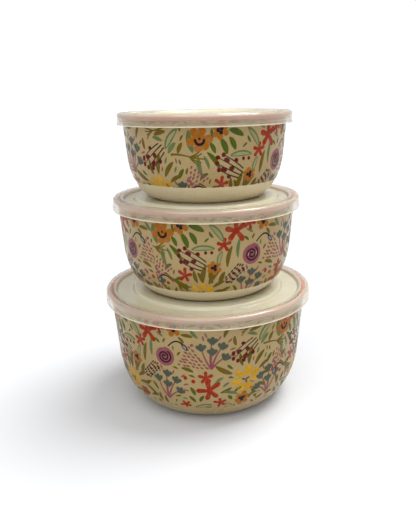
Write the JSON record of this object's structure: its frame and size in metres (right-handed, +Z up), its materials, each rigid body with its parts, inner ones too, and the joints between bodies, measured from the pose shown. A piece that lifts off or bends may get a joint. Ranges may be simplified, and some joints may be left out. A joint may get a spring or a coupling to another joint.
{
  "type": "lidded enamel bowl set",
  "caption": "Stack of round enamelled steel bowls with a small floral print, each closed by a translucent press-on lid whose round recess holds the bowl above.",
  "frame": {"origin": "centre of the largest bowl's foot, on the surface the stack stands on", "axes": "+Z up along the common axis of all bowls and lids; X and Y across, every piece is round"},
  "size_m": [0.188, 0.188, 0.2604],
  "materials": {
    "enamel": "glossy vitreous enamel",
    "lid_plastic": "milky translucent, softly glossy"
  },
  "bodies": {
    "bowl_large": {"bowl_large": "enamel"},
    "lid_large": {"lid_large": "lid_plastic"},
    "bowl_medium": {"bowl_medium": "enamel"},
    "lid_medium": {"lid_medium": "lid_plastic"},
    "bowl_small": {"bowl_small": "enamel"},
    "lid_small": {"lid_small": "lid_plastic"}
  },
  "joints": [
    {"name": "lid_large_lift", "type": "slide", "parent": "bowl_large", "child": "lid_large", "axis": [0, 0, 1], "range_m": [0, 0.06]},
    {"name": "bowl_medium_lift", "type": "slide", "parent": "lid_large", "child": "bowl_medium", "axis": [0, 0, 1], "range_m": [0, 0.045]},
    {"name": "lid_medium_lift", "type": "slide", "parent": "bowl_medium", "child": "lid_medium", "axis": [0, 0, 1], "range_m": [0, 0.06]},
    {"name": "bowl_small_lift", "type": "slide", "parent": "lid_medium", "child": "bowl_small", "axis": [0, 0, 1], "range_m": [0, 0.045]},
    {"name": "lid_small_lift", "type": "slide", "parent": "bowl_small", "child": "lid_small", "axis": [0, 0, 1], "range_m": [0, 0.06]}
  ]
}
